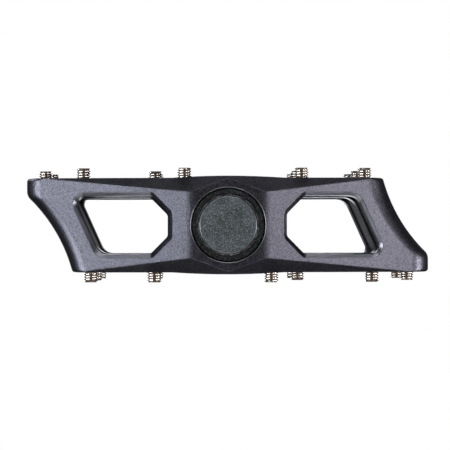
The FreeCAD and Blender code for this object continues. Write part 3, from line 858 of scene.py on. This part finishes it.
def join(target: bmesh.types.BMesh, source: bmesh.types.BMesh, move: Matrix) -> None:
    """Adds a moved copy of one bmesh to another.

    Args:
        target: the bmesh that grows.
        source: the bmesh that is copied.
        move: where the copy goes.
    """
    scratch = bpy.data.meshes.new("scratch")
    source.to_mesh(scratch)
    scratch.transform(move)
    target.from_mesh(scratch)
    bpy.data.meshes.remove(scratch)


# ---- Sub-assemblies -----------------------------------------------------------------------------------


@dataclass
class Platform:
    """The machined platform; its solid is right as it is and only takes a finish."""

    node: str = "platform_body"
    finish: BlastedAnodise = field(default_factory=BlastedAnodise)

    def build(self) -> None:
        """Dresses the platform."""
        dress(self.node, self.finish.mix())


@dataclass
class GripPins:
    """The threaded grub screws of both treads, three rows of four on each."""

    rows: tuple[str, ...] = ("outer", "middle", "inner")
    radius: float = 1.97 * MM
    depth: float = 0.42 * MM
    pitch: float = 0.7 * MM
    chamfer: float = 0.3 * MM
    socket_width: float = 2.0 * MM
    socket_depth: float = 2.2 * MM
    turn_between: float = 2.4
    reach: float = 5 * MM
    sharp_degrees: float = 50
    finish: ThreadSteel = field(default_factory=ThreadSteel)

    def centres(self, node: str) -> list[Vector]:
        """Where a row's pins stand.

        Args:
            node: the row's solid.

        Returns:
            The pins' axes in x and y, from the solid's own loose shells.
        """
        found: list[list[Vector]] = []
        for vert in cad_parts[node].data.vertices:
            near = next((group for group in found if (group[0] - vert.co).xy.length < self.reach), None)
            if near is None:
                found.append([vert.co.copy()])
            else:
                near.append(vert.co.copy())
        middles = []
        for group in found:
            low = Vector((min(v.x for v in group), min(v.y for v in group), 0))
            high = Vector((max(v.x for v in group), max(v.y for v in group), 0))
            middles.append((low + high) / 2)
        return middles

    def row(self, side: Side, row: str, material: bpy.types.Material) -> None:
        """Builds the four pins of one row.

        Args:
            side: the tread.
            row: the row's name.
            material: the pins' finish.
        """
        node = f"{side.name.lower()}_{row}_pins"
        low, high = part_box(node)
        screw = ScrewThread(
            radius=self.radius,
            depth=self.depth,
            pitch=self.pitch,
            length=high.z - low.z,
            tip_chamfer=self.chamfer,
            foot_chamfer=self.chamfer,
            socket_width=self.socket_width,
            socket_depth=self.socket_depth,
        ).build()
        foot = low.z if side is Side.TOP else high.z
        over = Matrix.Rotation(0 if side is Side.TOP else math.pi, 4, "Y")
        group = bmesh.new()
        for number, middle in enumerate(self.centres(node)):
            turn = Matrix.Rotation(number * self.turn_between + middle.y / self.pitch, 4, "Z")
            join(group, screw, Matrix.Translation((middle.x, middle.y, foot)) @ over @ turn)
        screw.free()
        made = settle(group, f"threaded_{node}", material, self.sharp_degrees)
        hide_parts(node)
        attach(made, Body.PLATFORM.value)
        LOG.info("built %s, %d faces", made.name, len(made.data.polygons))

    def build(self) -> None:
        """Builds all six rows."""
        material = self.finish.mix()
        for side in Side:
            for row in self.rows:
                self.row(side, row, material)


@dataclass(frozen=True)
class ShaftOutline:
    """The spindle's steps inside the platform, from the collar out to the nut's thread."""

    overlap: float = 0.2 * MM
    seal_radius: float = 7.4 * MM
    seal_end: float = -14.5 * MM
    bush_radius: float = 7.0 * MM
    bush_end: float = -34.0 * MM
    shank_start_radius: float = 6.4 * MM
    shank_start: float = -35.2 * MM
    shank_end_radius: float = 4.9 * MM
    shank_end: float = -84.0 * MM
    shoulder: float = -88.0 * MM
    seat_radius: float = 3.98 * MM
    seat_end: float = -98.2 * MM
    nut_thread_radius: float = 3.5 * MM
    nut_thread_start: float = -98.7 * MM
    tip_chamfer: float = 0.6 * MM

    def points(self, collar_end: float, tip: float) -> list[Span]:
        """The outline as pairs of radius and y.

        Args:
            collar_end: where the collar ends.
            tip: where the shaft ends.

        Returns:
            The pairs, from just inside the collar to the tip.
        """
        return [
            (self.seal_radius, collar_end + self.overlap),
            (self.seal_radius, self.seal_end),
            (self.bush_radius, self.seal_end),
            (self.bush_radius, self.bush_end),
            (self.shank_start_radius, self.shank_start),
            (self.shank_end_radius, self.shank_end),
            (self.shank_end_radius, self.shoulder),
            (self.seat_radius, self.shoulder),
            (self.seat_radius, self.seat_end),
            (self.nut_thread_radius, self.nut_thread_start),
            (self.nut_thread_radius, tip + self.tip_chamfer),
            (self.nut_thread_radius - self.tip_chamfer, tip),
        ]


@dataclass
class Axle:
    """The spindle: threaded crank end with hex socket, collar with two spanner flats, and shaft."""

    node: str = "spindle"
    thread_length: float = 14.3 * MM
    thread_radius: float = 7.13 * MM
    thread_depth: float = 0.75 * MM
    thread_pitch: float = 1.27 * MM
    thread_steps: int = 72
    tip_chamfer: float = 1.0 * MM
    foot_chamfer: float = 0.9 * MM
    socket_width: float = 8.0 * MM
    socket_depth: float = 9.0 * MM
    socket_cuts: int = 11
    collar_radius: float = 9.0 * MM
    collar_end: float = -7.6 * MM
    collar_segments: int = 96
    flats: Span = (-6.4 * MM, -1.4 * MM)
    flats_width: float = 15.0 * MM
    edge: float = 0.4 * MM
    shaft_outline: ShaftOutline = field(default_factory=ShaftOutline)
    shaft_steps: int = 64
    sharp_degrees: float = 35
    finish: TurnedSteel = field(default_factory=lambda: TurnedSteel("ground_spindle_steel"))

    def along_spindle(self, y: float) -> Matrix:
        """The move that lays a piece built along Z on the spindle, with its foot at y."""
        return Matrix.Translation((0, y, 0)) @ Matrix.Rotation(-math.pi / 2, 4, "X")

    def disc(self, group: bmesh.types.BMesh, y0: float, y1: float, flat: bool) -> None:
        """Adds one closed disc of the collar.

        Args:
            group: the bmesh that it goes in.
            y0: the end nearer the platform.
            y1: the end nearer the crank arm.
            flat: whether its top and bottom are cut to the spanner flats.
        """
        length = y1 - y0
        piece = bmesh.new()
        bmesh.ops.create_cone(
            piece,
            cap_ends=True,
            segments=self.collar_segments,
            radius1=self.collar_radius,
            radius2=self.collar_radius,
            depth=length,
            matrix=Matrix.Translation((0, 0, length / 2)),
        )
        if flat:
            for sign in (1, -1):
                cut = bmesh.ops.bisect_plane(
                    piece,
                    geom=piece.verts[:] + piece.edges[:] + piece.faces[:],
                    plane_co=(0, sign * self.flats_width / 2, 0),
                    plane_no=(0, sign, 0),
                    clear_outer=True,
                )
                bmesh.ops.contextual_create(piece, geom=edges_of(cut["geom_cut"]))
        else:
            rims = [e for e in piece.edges if abs(e.verts[0].co.z - e.verts[1].co.z) < SAME_PLACE]
            bmesh.ops.bevel(
                piece,
                geom=rims,
                offset=self.edge,
                affect="EDGES",
                segments=2,
                profile=0.5,
                material=-1,
            )
        join(group, piece, self.along_spindle(y0))
        piece.free()

    def shaft(self, group: bmesh.types.BMesh) -> None:
        """Adds the shaft inside the platform, turned about the spindle axis.

        Args:
            group: the bmesh that it goes in.
        """
        low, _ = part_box(self.node)
        outline = self.shaft_outline.points(self.collar_end, low.y)
        piece = bmesh.new()
        verts = [piece.verts.new((radius, y, 0)) for radius, y in outline]
        edges = [piece.edges.new(pair) for pair in zip(verts, verts[1:])]
        bmesh.ops.spin(
            piece,
            geom=verts + edges,
            cent=(0, 0, 0),
            axis=(0, 1, 0),
            angle=FULL_TURN,
            steps=self.shaft_steps,
            use_merge=True,
        )
        bmesh.ops.holes_fill(piece, edges=[e for e in piece.edges if e.is_boundary], sides=0)
        join(group, piece, Matrix.Identity(4))
        piece.free()

    def build(self) -> None:
        """Builds the spindle and its finish."""
        group = bmesh.new()
        thread = ScrewThread(
            radius=self.thread_radius,
            depth=self.thread_depth,
            pitch=self.thread_pitch,
            length=self.thread_length + self.edge,
            tip_chamfer=self.tip_chamfer,
            foot_chamfer=self.foot_chamfer,
            socket_width=self.socket_width,
            socket_depth=self.socket_depth,
            steps=self.thread_steps,
            socket_cuts=self.socket_cuts,
        ).build()
        join(group, thread, self.along_spindle(-self.edge))
        thread.free()
        near, far = self.flats
        self.disc(group, self.collar_end, near, flat=False)
        self.disc(group, near - self.edge, far + self.edge, flat=True)
        self.disc(group, far, 0.0, flat=False)
        self.shaft(group)
        made = settle(group, "turned_spindle", self.finish.mix(), self.sharp_degrees)
        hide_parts(self.node)
        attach(made, Body.AXLE.value)
        LOG.info("built %s, %d faces", made.name, len(made.data.polygons))


@dataclass
class RunningGear:
    """Bush, lip seal, bearings, washer and nut: solids inside the platform that only take finishes."""

    bearings: tuple[int, ...] = (1, 2)
    race: TurnedSteel = TurnedSteel(
        name="ground_race_steel",
        base=(0.58, 0.58, 0.60),
        shade=(0.42, 0.42, 0.44),
        roughness=0.2,
    )
    ball: TurnedSteel = TurnedSteel(
        name="polished_ball_steel",
        base=(0.74, 0.74, 0.75),
        shade=(0.66, 0.66, 0.68),
        roughness=0.08,
    )
    rubber: Moulded = Moulded(
        name="seal_rubber_black",
        base=(0.016, 0.016, 0.017),
        pale=(0.040, 0.040, 0.042),
        roughness=0.55,
    )
    nylon: Moulded = Moulded(
        name="cage_nylon_tan",
        base=(0.50, 0.42, 0.28),
        pale=(0.60, 0.52, 0.37),
        roughness=0.5,
    )
    bush: Moulded = Moulded(
        name="bush_polymer_cream",
        base=(0.60, 0.56, 0.45),
        pale=(0.72, 0.68, 0.58),
        roughness=0.45,
    )
    zinc: TurnedSteel = TurnedSteel(
        name="zinc_plate",
        base=(0.55, 0.55, 0.52),
        shade=(0.38, 0.38, 0.35),
        roughness=0.34,
    )

    def build(self) -> None:
        """Dresses every piece."""
        race, ball, rubber = self.race.mix(), self.ball.mix(), self.rubber.mix()
        nylon, bush, zinc = self.nylon.mix(), self.bush.mix(), self.zinc.mix()
        parts = {"inner_ring": race, "outer_ring": race, "balls": ball, "cage": nylon, "seals": rubber}
        for number in self.bearings:
            for part, finish in parts.items():
                dress(f"bearing_{number}_{part}", finish)
        dress("inner_bush", bush)
        dress("inner_lip_seal", rubber)
        dress("nut_washer", zinc)
        dress("spindle_nut", zinc)
        dress("end_cap_o_ring", rubber)


@dataclass
class CapStack:
    """The black cap and the plain grey disc in its face."""

    cap: BlackCap = field(default_factory=BlackCap)
    blank: GreyBlank = field(default_factory=GreyBlank)

    def build(self) -> None:
        """Dresses both pieces."""
        dress("end_cap", self.cap.mix())
        dress("end_cap_blank", self.blank.mix())


# ---- Studio -------------------------------------------------------------------------------------------


@dataclass(frozen=True)
class Softbox:
    """One soft rectangular light that faces the pedal; angles in degrees, azimuth 0 at the camera."""

    name: str
    azimuth: float
    elevation: float
    distance: float
    width: float
    height: float
    power: float
    colour: Colour = WHITE

    def hang(self, target: Vector) -> None:
        """Adds the light.

        Args:
            target: what it faces.
        """
        data = bpy.data.lights.new(self.name, "AREA")
        data.shape = "RECTANGLE"
        data.size = self.width
        data.size_y = self.height
        data.energy = self.power
        data.color = self.colour
        light = bpy.data.objects.new(self.name, data)
        turn = math.radians(self.azimuth)
        rise = math.radians(self.elevation)
        level = math.cos(rise)
        away = Vector((math.sin(turn) * level, -math.cos(turn) * level, math.sin(rise)))
        light.location = target + away * self.distance
        light.rotation_euler = away.to_track_quat("Z", "Y").to_euler()
        light.visible_camera = False
        bpy.context.scene.collection.objects.link(light)


@dataclass
class Studio:
    """Camera at the spindle's outer end, pale floor well below, soft boxes and a white surround."""

    lens: float = 238.3
    sensor: float = 36.0
    clip: Span = (0.05, 20.0)
    distance: float = 0.830
    pivot: Vector = field(default_factory=lambda: Vector((0, -0.1055, 0)))
    offset_x: float = -0.84 * MM
    yaw: float = 0.55
    pitch: float = -0.25
    roll: float = -0.10
    floor_drop: float = 0.30
    floor_radius: float = 2.6
    floor_segments: int = 128
    surround: float = 0.06
    surround_tint: Colour = (0.95, 0.97, 1.0)
    card_behind: Span = (0.55, 0.8)
    card_sides: Span = (0.05, 0.25)
    card_gap: Span = (0.08, 0.16)
    card_low: float = 4.5
    card_high: float = 5.0
    # name, azimuth, elevation, distance, width, height, power, colour
    lights: tuple[Softbox, ...] = (
        Softbox("left_box", -35, 2, 1.2, 0.24, 0.40, 3.3, COOL_WHITE),
        Softbox("left_wing_box", -66, -4, 1.2, 0.60, 0.60, 10.0, COOL_WHITE),
        Softbox("right_box", 35, 2, 1.2, 0.24, 0.40, 3.0, WARM_WHITE),
        Softbox("right_wing_box", 74, -8, 1.2, 0.50, 0.40, 9.0, WARM_WHITE),
        Softbox("overhead_box", 0, 72, 1.2, 0.9, 0.08, 4.0),
        Softbox("under_card", 0, -66, 0.25, 0.3, 0.04, 0.22),
        Softbox("crank_side_box", 180, 24, 1.4, 0.20, 0.24, 0.7),
        Softbox("left_fill_box", -118, 30, 1.4, 0.6, 0.5, 5.0),
    )

    def camera(self) -> None:
        """Places the camera, which looks along +Y with a small yaw, pitch and roll."""
        data = bpy.data.cameras.new("camera")
        data.lens = self.lens
        data.sensor_width = self.sensor
        data.clip_start, data.clip_end = self.clip
        camera = bpy.data.objects.new("camera", data)
        tilt = (
            Matrix.Rotation(math.radians(self.yaw), 4, "Z")
            @ Matrix.Rotation(math.radians(self.pitch), 4, "X")
            @ Matrix.Rotation(math.radians(self.roll), 4, "Y")
        )
        about = Matrix.Translation(self.pivot)
        back = Matrix.Translation(self.pivot + Vector((self.offset_x, -self.distance, 0)))
        level = Matrix.Rotation(math.pi / 2, 4, "X")
        camera.matrix_world = about @ tilt.inverted() @ about.inverted() @ back @ level
        bpy.context.scene.collection.objects.link(camera)
        bpy.context.scene.camera = camera

    def floor(self) -> None:
        """Lays the round pale floor."""
        mesh = bmesh.new()
        low, _ = CAD_BOX
        at = Matrix.Translation((0, self.pivot.y, low[2] - self.floor_drop))
        bmesh.ops.create_circle(
            mesh,
            cap_ends=True,
            segments=self.floor_segments,
            radius=self.floor_radius,
            matrix=at,
        )
        made = settle(mesh, "floor", StudioPaper().mix(), smooth_degrees=30)
        made.visible_glossy = False

    def world(self) -> None:
        """A white surround that lights softly, with a bright card above and below the horizon behind."""
        recipe = Recipe(bpy.data.worlds.new("surround"))
        away = recipe.node("ShaderNodeTexCoord", output="Generated")
        across, behind, up = (recipe.axis(away, name) for name in "XYZ")
        narrow = recipe.ease(abs(across), *self.card_sides, 1.0, 0.0)
        card = recipe.ease(behind, *self.card_behind) * narrow
        above = recipe.ease(up, *self.card_gap, 0.0, self.card_high)
        below = recipe.ease(up * -1, *self.card_gap, 0.0, self.card_low)
        strength = self.surround + card * (above + below)
        tint, white = (*self.surround_tint, 1.0), (*WHITE, 1.0)
        lit = recipe.node("ShaderNodeBackground", inputs={"Color": tint, "Strength": strength})
        seen = recipe.node("ShaderNodeBackground", inputs={"Color": white, "Strength": 1.0})
        direct = recipe.node("ShaderNodeLightPath", output="Is Camera Ray")
        choice = recipe.node("ShaderNodeMixShader", inputs={0: direct, 1: lit, 2: seen})
        recipe.node("ShaderNodeOutputWorld", inputs={"Surface": choice}, output=None)
        bpy.context.scene.world = recipe.owner

    def build(self) -> None:
        """Sets up camera, floor, surround and lights."""
        bpy.context.scene.view_settings.view_transform = "Standard"
        self.camera()
        self.floor()
        self.world()
        for light in self.lights:
            light.hang(self.pivot)
            LOG.info("hung %s", light.name)


def main() -> None:
    """Builds every sub-assembly in order, then the studio."""
    logging.basicConfig(level=logging.INFO, format="%(name)s: %(message)s")
    for part in (Studio(), Platform(), GripPins(), Axle(), RunningGear(), CapStack()):
        LOG.info("building %s", type(part).__name__)
        part.build()


if __name__ == "__main__":
    main()
